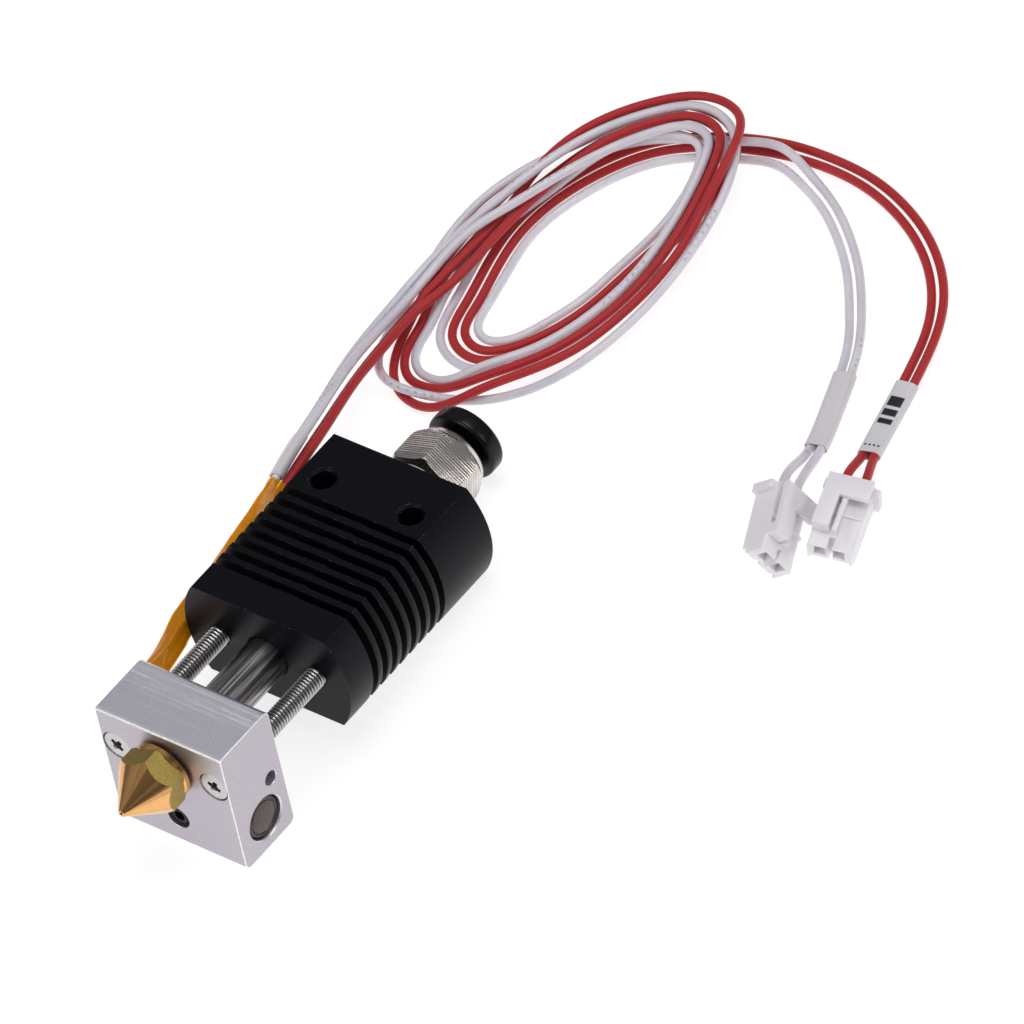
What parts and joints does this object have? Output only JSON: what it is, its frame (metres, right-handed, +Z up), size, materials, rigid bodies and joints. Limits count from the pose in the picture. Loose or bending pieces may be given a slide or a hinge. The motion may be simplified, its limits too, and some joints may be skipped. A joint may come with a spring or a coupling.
{
  "type": "hotend assembly",
  "caption": "Filament hotend: brass nozzle and heater block held by screws under a grooved black heat sink, with push-fit tube fitting, taped wires and white plugs.",
  "frame": {"origin": "on the table under the middle of the hotend body, without its wires and plugs", "axes": "+Z up; +Y along the hotend lying on the table, from the nozzle to the tube fitting; +X to the right seen from the nozzle"},
  "size_m": [0.0804, 0.1335, 0.021],
  "materials": {
    "block": "brushed, satin",
    "nozzle": "turned, bright",
    "bare_steel": "turned, bright",
    "black_anodised": "black anodised, glossy",
    "black_oxide": "black oxide",
    "screws": "zinc plated",
    "nickel": "nickel plated",
    "black_plastic": "moulded, glossy",
    "seal": "matt",
    "liner": "smooth",
    "ceramic": "ceramic, matt",
    "bead": "clear amber",
    "lead_sleeve": "glass-fibre braid",
    "splice": "bright",
    "tape": "clear amber film",
    "white_wire": "smooth insulation",
    "red_wire": "braided sleeving",
    "white_sleeve": "shrink tube",
    "label_sleeve": "printed shrink tube",
    "plug": "moulded nylon",
    "contacts": "tinned"
  },
  "bodies": {
    "hotend": {"heater_block": "block", "nozzle": "nozzle", "heat_break": "bare_steel", "cartridge_sheath": "bare_steel", "heat_sink": "black_anodised", "cartridge_set_screw": "black_oxide", "standoff_screw_left": "screws", "standoff_screw_right": "screws", "fitting_lock_claw": "screws", "fitting_body": "nickel", "fitting_o_ring": "seal", "ptfe_liner": "liner", "cartridge_core": "ceramic", "cartridge_seal": "ceramic", "thermistor_bead": "bead", "thermistor_lead_sleeve": "lead_sleeve", "thermistor_splice_a": "splice", "thermistor_splice_b": "splice", "kapton_tape": "tape", "thermistor_wire_a": "white_wire", "thermistor_wire_b": "white_wire", "heater_wire_a": "red_wire", "heater_wire_b": "red_wire", "thermistor_wire_sleeve": "white_sleeve", "thermistor_plug_sleeve": "white_sleeve", "heater_label_sleeve": "label_sleeve", "thermistor_plug_housing": "plug", "heater_plug_housing": "plug", "thermistor_plug_contact_a": "contacts", "thermistor_plug_contact_b": "contacts", "heater_plug_contact_a": "contacts", "heater_plug_contact_b": "contacts"},
    "release_collar": {"release_collar": "black_plastic"}
  },
  "joints": [
    {"name": "collar_press", "type": "slide", "parent": "hotend", "child": "release_collar", "axis": [0, -0.988, 0.1546], "range_m": [0, 0.0008], "stiffness_N_per_m": 100}
  ]
}
